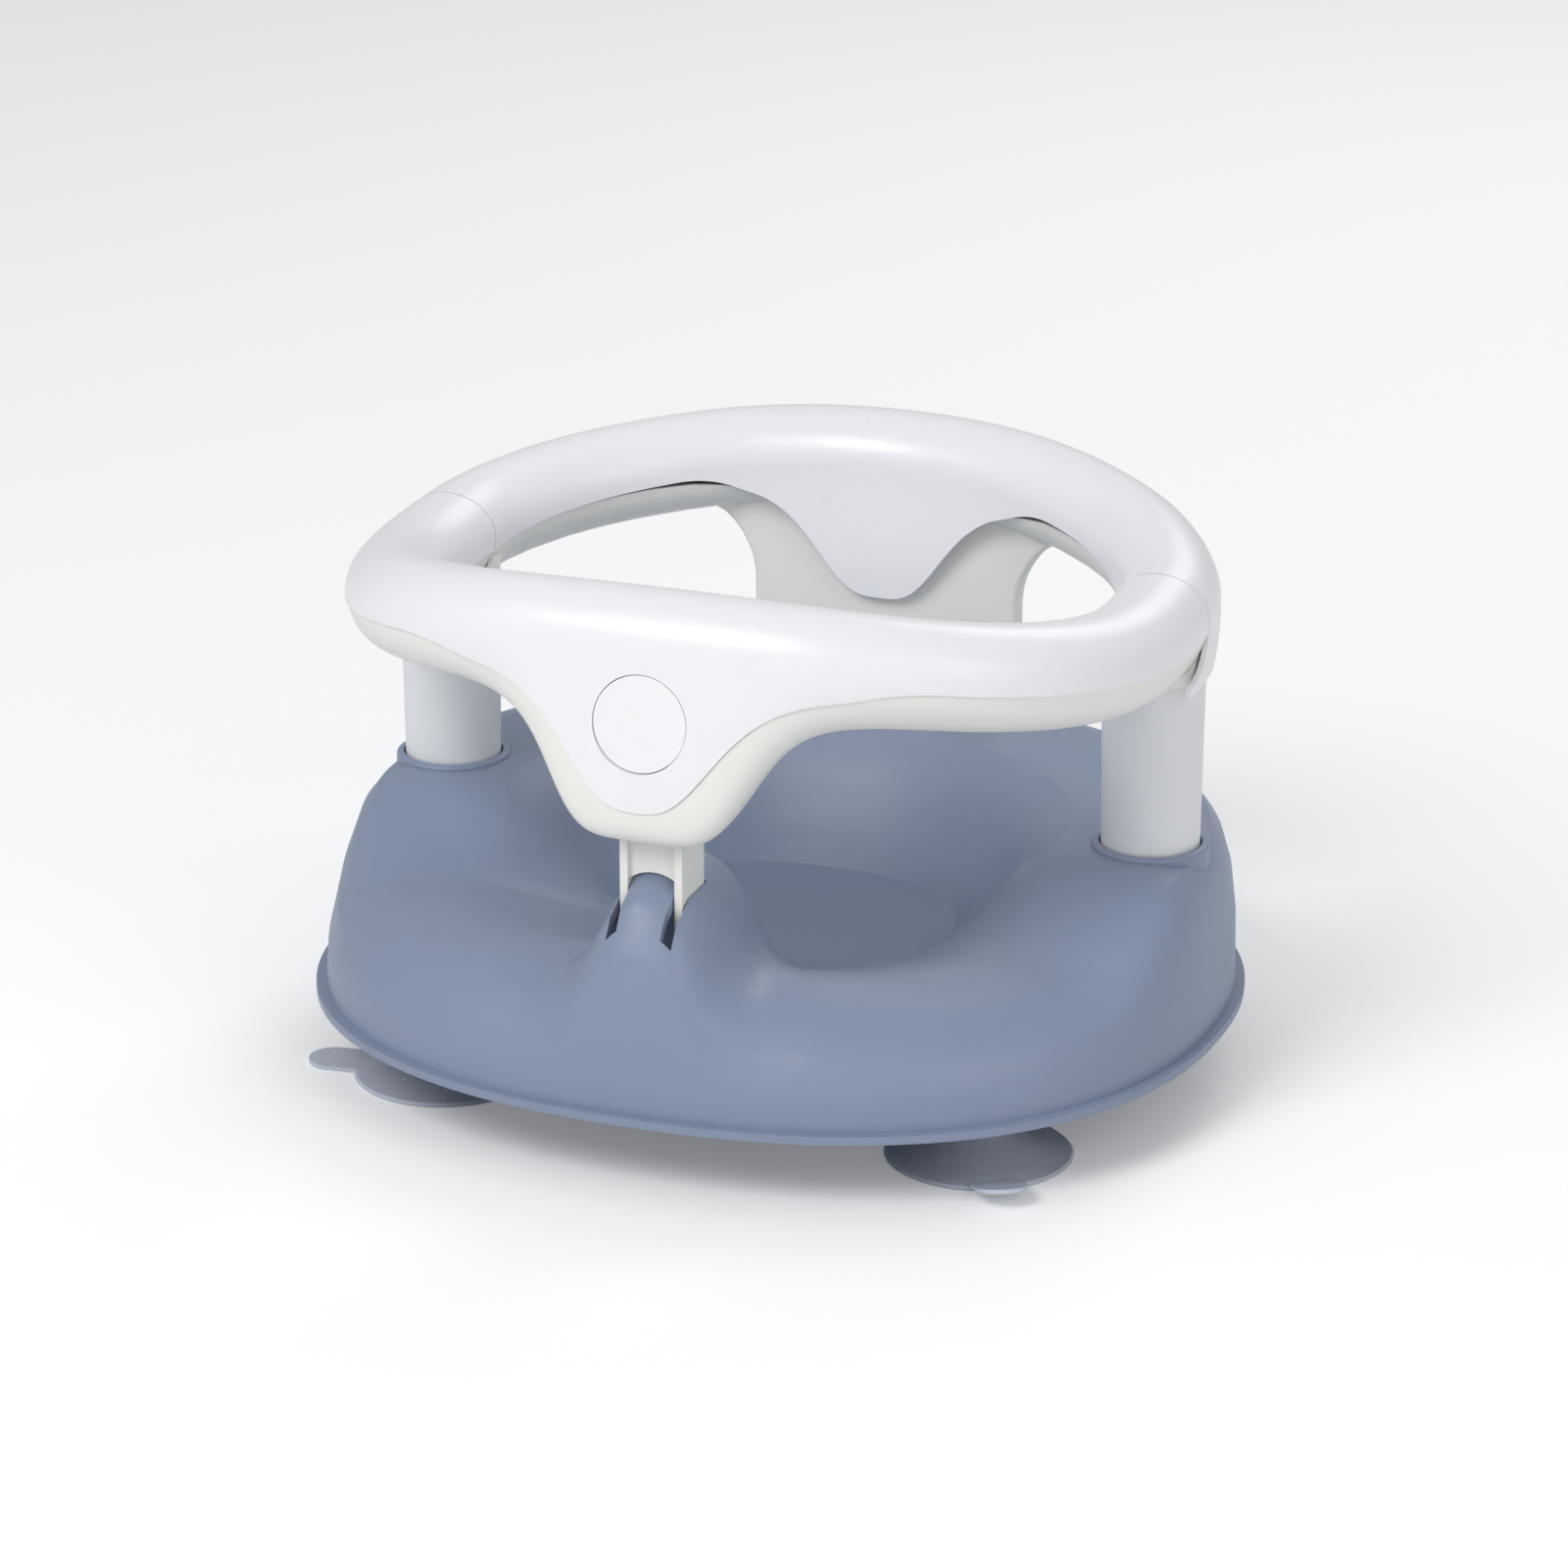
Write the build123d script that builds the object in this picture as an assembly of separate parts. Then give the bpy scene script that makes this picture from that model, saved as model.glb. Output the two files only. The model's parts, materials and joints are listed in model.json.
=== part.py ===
from build123d import *
import math
import os

import numpy as np

# Baby bath seat: a moulded blue base on four swivelling suction cups, two
# posts, a fixed rear half ring with a backrest, and a front bar that folds up
# about the two side joints. A rocking leg under the bar hooks into the pommel
# of the base and is freed by the round push button.
# Millimetres, X to the right, Y to the back, Z up, z = 0 under the cups.

# Base shell
BASE_HALF_W = 174.6
BASE_HALF_D = 156.6
BASE_MID_Y = -2.0
BASE_POWER = 2.28
RIM_Z = 27.1
RIM_LIP = 3.5
RIM_LIP_H = 3.2
FLOOR_Z = 50.0
SADDLE_Z = 72.0
LEDGE_Z = 95.0
BASE_WALL = 2.6
BASE_LOOP_POINTS = 60

# Pommel at the front of the base
POMMEL_Z = 112.0
POMMEL_Y = -100.0
POMMEL_HALF_W = 48.0

# Posts and their sockets
POST_X, POST_Y = 141.4, 12.3
POST_R, POST_TOP_R = 18.4, 19.1
POST_WALL = 2.5
BOSS_Z = 94.5
SOCKET_BOTTOM_Z = 48.0
POST_TOP_Z = 161.0
SLEEVE_R = 19.4

# Suction cups
CUP_R = 34.8
CUP_NECK_R = 6.0
CUP_PLATE_Z = 27.1
CUP_PLATE_T = 3.0
CUP_TAB = 19.0
CUP_BOSS_R = 13.0
FRONT_CUP = (106.4, -76.5)
REAR_CUP = (102.0, 82.0)
# Turn of each pull tab and how far it curls up, in degrees
CUP_TAB_TURN = {"front_left": (186, 0), "front_right": (-60, 16), "rear_left": (140, 0), "rear_right": (40, 0)}

# Ring tube
TUBE_A = 19.3
TUBE_V = 19.0
RING_WALL = 2.4
RING_SEAM_K = -2.0
SEAM_GAP = 0.25
UNDER_INSET = 0.8

# Screws that hold the two shells of each ring half together, on the right
BAR_SCREW = (100.0, -95.0, 189.5)
REAR_SCREW = (91.0, 99.0, 191.5)

# Hinge of the front bar
HINGE_X, HINGE_Y, HINGE_Z = 142.0, -9.0, 189.0
KNUCKLE_R = 24.0
KNUCKLE_GAP = 0.6
PIN_R = 2.5
PIN_FIT = 0.06

# Apron of the front bar and bib of the backrest
APRON_DROP = 50.0
APRON_HALF_W = 39.5
APRON_FORWARD = 12.0
BIB_DROP = 49.0
BIB_HALF_W = 34.0

# Backrest
BACK_HALF_W = 54.5
BACK_FRONT_Y = 109.6
BACK_DEPTH = 8.0
BACK_BOTTOM_Z = 62.0
BACK_TOP_Z = 186.0
BACK_WALL = 2.5

# Leg, button and spring
LEG_BLADE_X = 10.5
LEG_BLADE_T = 3.0
LEG_FRONT_Y, LEG_BACK_Y = -130.0, -109.0
LEG_TIP_Z = 84.0
LEG_WEB_Y = -127.5
LEG_PIVOT_Y, LEG_PIVOT_Z = -120.0, 147.0
LEG_PIN_R = 1.5
SLOT_Y0, SLOT_Y1 = -142.5, -108.0
BUTTON_Z = 172.7
BUTTON_Y = -139.4
BUTTON_R = 17.6
BUTTON_TILT = 6.0
BUTTON_TRAVEL = 4.0


# Centre line of the ring, right half from the back to the front
RING_POINTS = [
    (0, 126, 197), (34, 122.5, 196.5), (64, 114, 194.5), (91, 99, 191.5), (113, 80, 188.5),
    (129, 58, 185.5), (139, 36, 182.5), (142.2, 13.5, 180.5), (142.5, -10, 179.5),
    (139, -35, 180), (131, -58, 182.5), (117.5, -79, 186), (100, -95, 189.5),
    (81, -106, 192.5), (60, -113.5, 195), (30, -117, 196.5), (0, -118, 197),
]
RING_LINE = Edge.make_spline(
    RING_POINTS + [(-x, y, z) for x, y, z in RING_POINTS[-2:0:-1]], periodic=True
)


def ease(t):
    """Smooth step from 0 to 1 with flat ends."""
    t = np.clip(t, 0, 1)
    return t * t * (3 - 2 * t)


def soft_max(a, b, k):
    return a + np.log1p(np.exp(np.clip((b - a) / k, -40, 40))) * k


def bell(x, half_width, power):
    """1 at the middle, one half at half_width, 0 far out."""
    return 1 / (1 + (abs(x) / half_width) ** power)


def box(x0, x1, y0, y1, z0, z1):
    size = (x1 - x0, y1 - y0, z1 - z0)
    return Pos((x0 + x1) / 2, (y0 + y1) / 2, (z0 + z1) / 2) * Box(*size)


def rod(x, y, z0, z1, r):
    return Pos(x, y, (z0 + z1) / 2) * Cylinder(r, z1 - z0)


def rod_x(y, z, x0, x1, r):
    return Pos((x0 + x1) / 2, y, z) * Rot(0, 90, 0) * Cylinder(r, x1 - x0)


def rod_y(x, z, y0, y1, r):
    return Pos(x, (y0 + y1) / 2, z) * Rot(90, 0, 0) * Cylinder(r, y1 - y0)


def rim_radius(phi):
    """Plan radius of the base, phi measured from the front."""
    c, s = abs(math.sin(phi)), abs(math.cos(phi))
    return ((c / BASE_HALF_W) ** BASE_POWER + (s / BASE_HALF_D) ** BASE_POWER) ** (-1 / BASE_POWER)


def base_top(x, y):
    """Height of the seat surface: bowl, ledge, saddles, pommel and post bosses."""
    phi = np.arctan2(np.abs(x), BASE_MID_Y - y)
    rho = np.hypot(x, y - BASE_MID_Y) / (np.vectorize(rim_radius)(phi) - RIM_LIP)
    turn = np.degrees(phi)
    ridge = SADDLE_Z - 3 * ease(turn / 50) + (LEDGE_Z - SADDLE_Z + 3) * ease((turn - 64) / 24)
    back = ease((turn - 50) / 45)
    inner, outer = 0.24 + 0.12 * back, 0.72 - 0.08 * back
    ridge = ridge + 3 * ease((y - 72) / 28)
    top = FLOOR_Z + (ridge - FLOOR_Z) * ease((rho - inner) / (outer - inner))
    slope = np.where(y < POMMEL_Y, -0.0055, 0.020)
    pommel = POMMEL_Z - slope * (y - POMMEL_Y) ** 2 - 62 * ease((np.abs(x) - 2) / (POMMEL_HALF_W - 2))
    top = soft_max(top, pommel, 5.0)
    reach = np.hypot(np.abs(x) - POST_X, y - POST_Y)
    boss = soft_max(top, BOSS_Z - 60 * ease((reach - 22) / 24), 2.5)
    flat = ease((34 - reach) / 10)
    return boss * (1 - flat) + BOSS_Z * flat


def base_grid():
    """Loops of points from the rim up the wall and in to the seat floor."""
    climb = [0.0, 0.2, 0.4, 0.6, 0.8, 1.0]
    inward = [0.12, 0.24, 0.36, 0.48, 0.6, 0.73, 0.86, 1.0]
    loops = []
    for step in climb + [1 + s for s in inward]:
        points = []
        for i in range(BASE_LOOP_POINTS):
            phi = 2 * math.pi * i / BASE_LOOP_POINTS
            radius = rim_radius(phi) - RIM_LIP
            side = ease((math.degrees(min(phi, 2 * math.pi - phi)) - 50) / 40)
            width, power = 46 - 26 * side, 2.3 + 0.7 * side
            climbed = min(step, 1) * math.pi / 2
            depth = width * (1 - math.cos(climbed) ** (2 / power))
            depth += max(step - 1, 0) * (0.80 * radius - width)
            x, y = math.sin(phi) * (radius - depth), BASE_MID_Y - math.cos(phi) * (radius - depth)
            lift = (1 - max(1 - depth / width, 0) ** power) ** (1 / power)
            points.append((x, y, RIM_Z + (float(base_top(x, y)) - RIM_Z) * lift))
        loops.append(points)
    return np.array(loops)


def offset_grid(grid, distance):
    """Move a grid of loops inwards along its own normals."""
    around = np.roll(grid, -1, axis=1) - np.roll(grid, 1, axis=1)
    across = np.gradient(grid, axis=0)
    normal = np.cross(across, around)
    normal /= np.linalg.norm(normal, axis=2)[..., None]
    if normal[-2, 0, 2] < 0:
        normal = -normal
    return grid - normal * distance


def loop_loft(grid):
    wires = [Wire([Edge.make_spline([tuple(p) for p in loop], periodic=True)]) for loop in grid]
    return Solid.make_loft(wires, ruled=True)


def plain_loft(grid):
    """The same between straight-sided loops, for the unseen underside."""
    wires = [Wire.make_polygon([tuple(p) for p in loop], close=True) for loop in grid]
    return Solid.make_loft(wires, ruled=True)


def base_hollow(grid):
    """The space under the shell, less the post sockets and cup bosses."""
    last = BASE_LOOP_POINTS
    kept = [i for i in range(last) if i % 2 == 0 or i < 15 or i > last - 15]
    inner = offset_grid(grid, BASE_WALL)[:, kept]
    inner[0, :, 2] = RIM_Z - 1
    inner[-1, :, 2] = FLOOR_Z - BASE_WALL
    sockets = [rod(x, POST_Y, SOCKET_BOTTOM_Z, 120, POST_R + 3.6) for x in (-POST_X, POST_X)]
    bosses = [rod(x, y, RIM_Z - 2, 120, CUP_BOSS_R) for x, y in cup_places().values()]
    return plain_loft(inner) - sockets - bosses


def cup_places():
    (fx, fy), (rx, ry) = FRONT_CUP, REAR_CUP
    return {
        "front_left": (-fx, fy), "front_right": (fx, fy),
        "rear_left": (-rx, ry), "rear_right": (rx, ry),
    }


def base_cuts():
    """Post bores, cup pockets, the two leg slots and the backrest pocket."""
    cuts = []
    for x in (-POST_X, POST_X):
        cuts.append(rod(x, POST_Y, SOCKET_BOTTOM_Z + 3, BOSS_Z + 9, POST_R + 0.15))
        cuts.append(rod(x, POST_Y, BOSS_Z - 6, BOSS_Z + 9, POST_R + 0.9))
        cuts.append(rod(x, POST_Y, SOCKET_BOTTOM_Z - 1, SOCKET_BOTTOM_Z + 4, 2.1))
    for x, y in cup_places().values():
        cuts.append(rod(x, y, CUP_PLATE_Z - 1, CUP_PLATE_Z + 4, CUP_NECK_R + 0.35))
        cuts.append(rod(x, y, CUP_PLATE_Z + CUP_PLATE_T, CUP_PLATE_Z + 13, CUP_BOSS_R - 2.5))
    for x in (-LEG_BLADE_X, LEG_BLADE_X):
        half = LEG_BLADE_T / 2 + 0.6
        cuts.append(box(x - half, x + half, SLOT_Y0, SLOT_Y1, 80, 125))
    side, back = BACK_HALF_W + 0.4, BACK_FRONT_Y + BACK_DEPTH + 0.7
    cuts.append(box(-side, side, BACK_FRONT_Y - 0.3, back, BACK_BOTTOM_Z - 4, 130))
    return cuts


def base_shell():
    grid = base_grid()
    grid[-1, :, 2] = FLOOR_Z
    shell = loop_loft(grid) - base_hollow(grid)
    return shell + [rim_bead(), *socket_collars()] - base_cuts()


def socket_collars():
    """Rounded bead around each post where it enters the base."""
    collar = rod(POST_X, POST_Y, BOSS_Z - 12, BOSS_Z + 1.8, POST_R + 3.6)
    collar = fillet(collar.edges().group_by(Axis.Z)[-1], 1.6)
    return [collar, mirrored(collar)]


def rim_bead():
    def outline(inset):
        points = []
        for i in range(36):
            phi = 2 * math.pi * i / 36
            r = rim_radius(phi) - inset
            points.append((math.sin(phi) * r, BASE_MID_Y - math.cos(phi) * r, RIM_Z))
        return Wire([Edge.make_spline(points, periodic=True)])

    ring = Face(outline(0), [outline(RIM_LIP + 1.2)])
    return Solid.extrude(ring, Vector(0, 0, RIM_LIP_H))


def station_frame(t):
    """Centre point and outward level direction of the ring at t."""
    point = RING_LINE.position_at(t)
    along = RING_LINE.tangent_at(t)
    out = Vector(-along.Y, along.X, 0).normalized()
    if out.X * point.X + out.Y * point.Y < 0:
        out = -out
    return point, out


def ring_t_at(y):
    """Place on the right half of the ring where it crosses y."""
    low, high = 0.0, 0.5
    for _ in range(40):
        mid = (low + high) / 2
        if RING_LINE.position_at(mid).Y > y:
            low = mid
        else:
            high = mid
    return low


def ring_stations(t0, t1, fine_y):
    """Stations closer together in the bends and where the bib or apron hangs."""
    ts = np.linspace(t0, t1, 400)
    points = np.array([tuple(RING_LINE.position_at(t % 1)) for t in ts])
    step = np.diff(points[:, :2], axis=0)
    length = np.hypot(step[:, 0], step[:, 1])
    heading = np.unwrap(np.arctan2(step[:, 1], step[:, 0]))
    turn = np.abs(np.diff(heading, append=heading[-1]))
    middle = (np.abs(points[:-1, 0]) < 72) & (np.abs(points[:-1, 1] - fine_y) < 30)
    weight = length / 60 + np.degrees(turn) / 11 + length / 16 * middle
    total = np.concatenate([[0], np.cumsum(weight)])
    count = int(round(total[-1]))
    count += count % 2
    return list(np.interp(np.linspace(0, total[-1], count + 1), total, ts))


def place(t, pairs):
    point, out = station_frame(t)
    return [point + out * h + Vector(0, 0, k) for h, k in pairs]


def c_section(t, runs, inner):
    """Closed wire: smooth outer runs end to end, and a plainer inner side."""
    edges = []
    for run, first, last in runs:
        points = place(t, run)
        ends = [Vector(0, 0, 1) * d if d in (-1, 1) else place_along(t, d) for d in (first, last)]
        edges.append(Edge.make_spline(points, tangents=ends))
    a0, a1 = place(t, [runs[0][0][0], runs[-1][0][-1]])
    b = place(t, inner)
    edges.append(Edge.make_line(a1, b[-1]))
    edges += [Edge.make_line(p, q) for p, q in zip(b[::-1][:-1], b[::-1][1:])]
    return Wire([*edges, Edge.make_line(b[0], a0)])


def place_along(t, pair):
    """Direction in space of a step in the section's own plane."""
    return station_frame(t)[1] * pair[0] + Vector(0, 0, pair[1])


def heading(run, last=False):
    """Direction of the first or last step of a run of points."""
    (h0, k0), (h1, k1) = run[-2:] if last else run[:2]
    return (h1 - h0, k1 - k0)


def upper_arc(a, v, count):
    angles = np.linspace(math.pi, 0, count)
    return [(a * math.cos(t), v * math.sin(t)) for t in angles]


def apron_size(x):
    """Depth below the centre line, corner power and forward lean of the bar."""
    g = bell(x, APRON_HALF_W, 5)
    return TUBE_V + 0.8 + APRON_DROP * g, 2 + 1.4 * g, APRON_FORWARD * g


def lean(k, depth, forward):
    return forward * (min(abs(k) / depth, 1)) ** 1.6


def apron_out(k, a, x, inset=0.0):
    depth, power, forward = apron_size(x)
    swell = 2.5 * abs(k) / depth * bell(x, APRON_HALF_W, 5)
    room = max(1 - min(abs(k) / (depth - inset), 1) ** power, 0) ** (1 / power)
    return (a + swell) * room + lean(k, depth, forward)


def cover_seam_k(x):
    return RING_SEAM_K - 54 * bell(x, 32.5, 2.8) * ease((95 - abs(x)) / 30)


def bar_cover_section(t):
    x = RING_LINE.position_at(t).X
    seam = cover_seam_k(x)

    def side(wall, arc_count, low_count):
        a, v = TUBE_A - wall, TUBE_V - wall
        crown = [(-a, RING_SEAM_K)] + upper_arc(a, v, arc_count)
        lows = np.linspace(0, seam, low_count + 1)
        return crown, [(apron_out(k, a, x, wall), k) for k in lows]

    crown, front = side(0, 11, 6)
    inner_crown, inner_front = side(RING_WALL, 7, 3)
    runs = [(crown, 1, -1), (front, -1, heading(front, True))]
    return c_section(t, runs, inner_crown + inner_front[1:])


def under_side(x, seam, end, wall, count):
    """Lower half of the bar: from the outer seam to the bottom, and on to the inner seam."""
    depth, power, forward = apron_size(x)
    a, b = TUBE_A - UNDER_INSET - wall, depth - wall
    start = math.asin(min((abs(seam) / b) ** (power / 2), 1))
    stop = math.pi - math.asin((abs(end) / b) ** (power / 2))

    def point(beta):
        k = -b * abs(math.sin(beta)) ** (2 / power)
        c = math.cos(beta)
        swell = 2.5 * abs(k) / depth * bell(x, APRON_HALF_W, 5)
        h = (a + swell) * math.copysign(abs(c) ** (2 / power), c)
        return (h + lean(k, depth, forward), k)

    middle = math.pi / 2
    return [point(q) for q in np.linspace(start, middle, count)], [
        point(q) for q in np.linspace(middle, stop, count)
    ]


def bar_under_section(t):
    x = RING_LINE.position_at(t).X
    seam, end = cover_seam_k(x) - SEAM_GAP, RING_SEAM_K - SEAM_GAP
    front, back = under_side(x, seam, end, 0, 9)
    inner_front, inner_back = under_side(x, seam, end, RING_WALL, 5)
    runs = [(front, heading(front), (-1, 0)), (back, (-1, 0), 1)]
    return c_section(t, runs, inner_front + inner_back[1:])


def bib_seam_k(x):
    return RING_SEAM_K - BIB_DROP * bell(x, BIB_HALF_W, 3.2) * ease((88 - abs(x)) / 30)


def cheek(y):
    """1 beside the joints, where the rear cover wraps the post, 0 further back."""
    return float(ease((42 - y) / 26))


def bib_reach(k):
    """How far inwards the bib stands at height k below the centre line."""
    return -TUBE_A - 2.0 * float(ease(-k / 40))


def rear_cover_section(t):
    point = RING_LINE.position_at(t)
    seam, c = bib_seam_k(point.X), cheek(point.Y)
    low = RING_SEAM_K - 16.5 * c

    def side(wall, arc_count, low_count):
        a, v = TUBE_A - wall, TUBE_V - wall
        skirt_a = TUBE_A - (1.9 if wall else 0)
        bulge = [0.3 * c * float(ease(-k / 10)) for k in np.linspace(low, 0, 5)]
        skirt = [(skirt_a + e, k) for e, k in zip(bulge, np.linspace(low, 0, 5))]
        lows = np.linspace(0, seam, low_count + 1)
        return skirt, upper_arc(a, v, arc_count)[::-1], [(bib_reach(k) + wall, k) for k in lows]

    skirt, crown, bib = side(0, 11, 6)
    inner_skirt, inner_crown, inner_bib = side(RING_WALL, 7, 3)
    runs = [(skirt, heading(skirt), 1), (crown, 1, -1), (bib, -1, heading(bib, True))]
    return c_section(t, runs, inner_skirt[:-1] + inner_crown + inner_bib[1:])


def rear_under_section(t):
    point = RING_LINE.position_at(t)
    end = RING_SEAM_K - SEAM_GAP - 12 * bell(point.X, 62, 6)
    inset = UNDER_INSET + 2.2 * float(ease((70 - point.Y) / 24))

    def side(wall, count):
        a, v = TUBE_A - wall, TUBE_V - wall
        start = -math.asin((abs(RING_SEAM_K) + SEAM_GAP) / v)
        stop = -math.pi + math.asin(min(abs(end) / v, 1))
        front = np.linspace(start, -math.pi / 2, count)
        back = np.linspace(-math.pi / 2, stop, count)
        outer = [((a - inset) * math.cos(q), v * math.sin(q)) for q in front]
        return outer, [((a - UNDER_INSET) * math.cos(q), v * math.sin(q)) for q in back]

    front, back = side(0, 7)
    inner_front, inner_back = side(RING_WALL, 4)
    runs = [(front, heading(front), (-1, 0)), (back, (-1, 0), heading(back, True))]
    return c_section(t, runs, inner_front + inner_back[1:])


def tube_loft(section, stations):
    return Solid.make_loft([section(t) for t in stations], ruled=True)


def bar_end_cutter():
    """All that lies behind the pivot and outside the knuckle."""
    behind = box(-180, 180, HINGE_Y, 60, 100, 260)
    return behind - rod_x(HINGE_Y, HINGE_Z, -181, 181, KNUCKLE_R)


def front_bar_cover():
    right = ring_t_at(24)
    stations = ring_stations(right, 1 - right, -117)
    cover = tube_loft(bar_cover_section, stations) - bar_end_cutter()
    cover += button_cylinder(BUTTON_R + 2.3, -0.5, 8)
    cover -= button_cylinder(BUTTON_R + 0.35, -6, 12)
    return cover + [screw_boss(BAR_SCREW), mirrored(screw_boss(BAR_SCREW))]


def screw_boss(place):
    """Boss inside a cover that takes a screw from below."""
    x, y, z = place
    return rod(x, y, z - 9.2, z + 17.6, 4.2) - rod(x, y, z - 10, z + 3, 1.55)


def screw_well(place):
    """Recess in an underside for the head of that screw, closed at the top."""
    x, y, z = place
    return rod(x, y, z - TUBE_V + 0.8, z - 9.5, 5.4)


def screw_bore(place):
    x, y, z = place
    return rod(x, y, z - TUBE_V - 4, z - 11.5, 3.6) + rod(x, y, z - 12, z - 9, 1.7)


def button_cylinder(radius, start, end):
    """A cylinder on the button's axis, from start to end behind its face."""
    middle = (start + end) / 2
    return button_place() * Pos(0, 0, -middle) * Cylinder(radius, end - start)


def button_place():
    return Pos(0, BUTTON_Y, BUTTON_Z) * Rot(90 - BUTTON_TILT, 0, 0)


def front_bar_underside():
    right = ring_t_at(24)
    stations = ring_stations(right, 1 - right, -117)
    under = tube_loft(bar_under_section, stations)
    under -= bar_end_cutter()
    under += [mirrored(hinge_ribs()), hinge_ribs(), knuckle_wall(), mirrored(knuckle_wall())]
    under += [*leg_ears(), screw_well(BAR_SCREW), mirrored(screw_well(BAR_SCREW))]
    under -= [screw_bore(BAR_SCREW), mirrored(screw_bore(BAR_SCREW))]
    slot = box(HINGE_X - 5, HINGE_X + 5, HINGE_Y - 3.5, 40, 150, 200)
    return under - [slot, mirrored(slot), box(-12.8, 12.8, -133.6, -98, 115, 150)]


def mirrored(shape):
    return mirror(shape, about=Plane.YZ)


def knuckle_wall():
    """Curved rear end of the bar, open in the middle for the tongue."""
    ring = rod_x(HINGE_Y, HINGE_Z, HINGE_X - 17, HINGE_X + 17, KNUCKLE_R)
    ring -= rod_x(HINGE_Y, HINGE_Z, HINGE_X - 18, HINGE_X + 18, KNUCKLE_R - 2.4)
    return ring & end_plug(HINGE_Y)


def end_plug(y):
    """Fills the inside of the tube at the joint: tight below, loose above."""
    centre_x, centre_z = HINGE_X + 0.3, 180.4
    tight = rod_y(centre_x, centre_z, y, 30, TUBE_A - RING_WALL)
    tight -= box(HINGE_X - 30, HINGE_X + 30, y - 1, 31, 176.5, 210)
    return tight + rod_y(centre_x, centre_z, y, 30, TUBE_A - RING_WALL - 1.3)


def hinge_ribs():
    ribs = []
    for x in (HINGE_X - 8, HINGE_X + 5):
        rib = box(x, x + 3, HINGE_Y - 5.2, HINGE_Y + 5.2, 162, HINGE_Z)
        rib -= box(x - 1, x + 4, HINGE_Y, HINGE_Y + 6, 160, 168)
        rib += rod_x(HINGE_Y, HINGE_Z, x, x + 3, 5.2)
        ribs.append(rib - rod_x(HINGE_Y, HINGE_Z, x - 1, x + 4, PIN_R))
    return ribs[0] + ribs[1]


def leg_ears():
    """Two ears on the back wall of the underside that carry the leg's pin."""
    ears = []
    for x in (-16.4, 13.4):
        ear = box(x, x + 3, LEG_PIVOT_Y, -107.9, LEG_PIVOT_Z - 5, LEG_PIVOT_Z + 5)
        ear += rod_x(LEG_PIVOT_Y, LEG_PIVOT_Z, x, x + 3, 5)
        ears.append(ear - rod_x(LEG_PIVOT_Y, LEG_PIVOT_Z, x - 1, x + 4, LEG_PIN_R))
    return ears


def hinge_pin(side):
    return rod_x(HINGE_Y, HINGE_Z, side * HINGE_X - 9, side * HINGE_X + 9, PIN_R)


def rear_stations():
    right = ring_t_at(HINGE_Y + 0.5)
    return [t % 1 for t in ring_stations(-right, right, 126)]


def joint_clearance():
    return rod_x(HINGE_Y, HINGE_Z, -181, 181, KNUCKLE_R + KNUCKLE_GAP)


def rear_ring_cover():
    cover = tube_loft(rear_cover_section, rear_stations()) - joint_clearance()
    return cover + [screw_boss(REAR_SCREW), mirrored(screw_boss(REAR_SCREW))]


def rear_ring_underside():
    under = tube_loft(rear_under_section, rear_stations()) - joint_clearance()
    under += backrest()
    under += [post_sleeve(), mirrored(post_sleeve())]
    under += [screw_well(REAR_SCREW), mirrored(screw_well(REAR_SCREW))]
    under -= [screw_bore(REAR_SCREW), mirrored(screw_bore(REAR_SCREW))]
    return under + [hinge_tongue(), mirrored(hinge_tongue())]


def post_sleeve():
    """Collar the post butts against, and its spigot inside the tube."""
    sleeve = rod(POST_X, POST_Y, POST_TOP_Z + 0.2, 176, SLEEVE_R)
    sleeve -= rod(POST_X, POST_Y, POST_TOP_Z + 3, 177, SLEEVE_R - 2.4)
    sleeve -= box(POST_X + 17.6, POST_X + 30, POST_Y - 30, POST_Y + 30, 140, 180)
    spigot = rod(POST_X, POST_Y, 132, POST_TOP_Z + 1.5, POST_R - POST_WALL - 0.1)
    spigot -= rod(POST_X, POST_Y, 131, POST_TOP_Z - 1, POST_R - POST_WALL - 2.3)
    return sleeve + spigot - joint_clearance()


def hinge_tongue():
    """Curved end wall of the rear tube with the arm that carries the pin."""
    ring = rod_x(HINGE_Y, HINGE_Z, HINGE_X - 17, HINGE_X + 17, KNUCKLE_R + KNUCKLE_GAP + 2.4)
    ring -= rod_x(HINGE_Y, HINGE_Z, HINGE_X - 18, HINGE_X + 18, KNUCKLE_R + KNUCKLE_GAP)
    wall = ring & end_plug(HINGE_Y + 0.5)
    arm = Pos(HINGE_X, 0, 12.8) * Box(9, 4, 25.6)
    arm = Pos(0, HINGE_Y, HINGE_Z) * Rot(-160, 0, 0) * arm
    arm += rod_x(HINGE_Y, HINGE_Z, HINGE_X - 4.5, HINGE_X + 4.5, 5.5)
    return wall + arm - rod_x(HINGE_Y, HINGE_Z, HINGE_X - 6, HINGE_X + 6, PIN_R + PIN_FIT)


def backrest_face(inset):
    """Upright panel that flares out to the ring at its shoulders."""
    w, top = BACK_HALF_W - inset, BACK_TOP_Z - inset
    low = BACK_BOTTOM_Z - (1 if inset else 0)
    edges = [Edge.make_line((-w, 0, low), (w, 0, low)), Edge.make_line((-w - 24, 0, top), (w + 24, 0, top))]
    for s in (-1, 1):
        steps = [(w, 146), (w + 3, 160), (w + 10, 170), (w + 24, 175)]
        shoulder = [(s * x, 0, z) for x, z in steps]
        edges.append(Edge.make_line((s * w, 0, low), shoulder[0]))
        edges.append(Edge.make_spline(shoulder, tangents=[(0, 0, 1), (s, 0, 0.1)]))
        edges.append(Edge.make_line(shoulder[-1], (s * (w + 24), 0, top)))
    return Face(Wire(edges))


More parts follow.
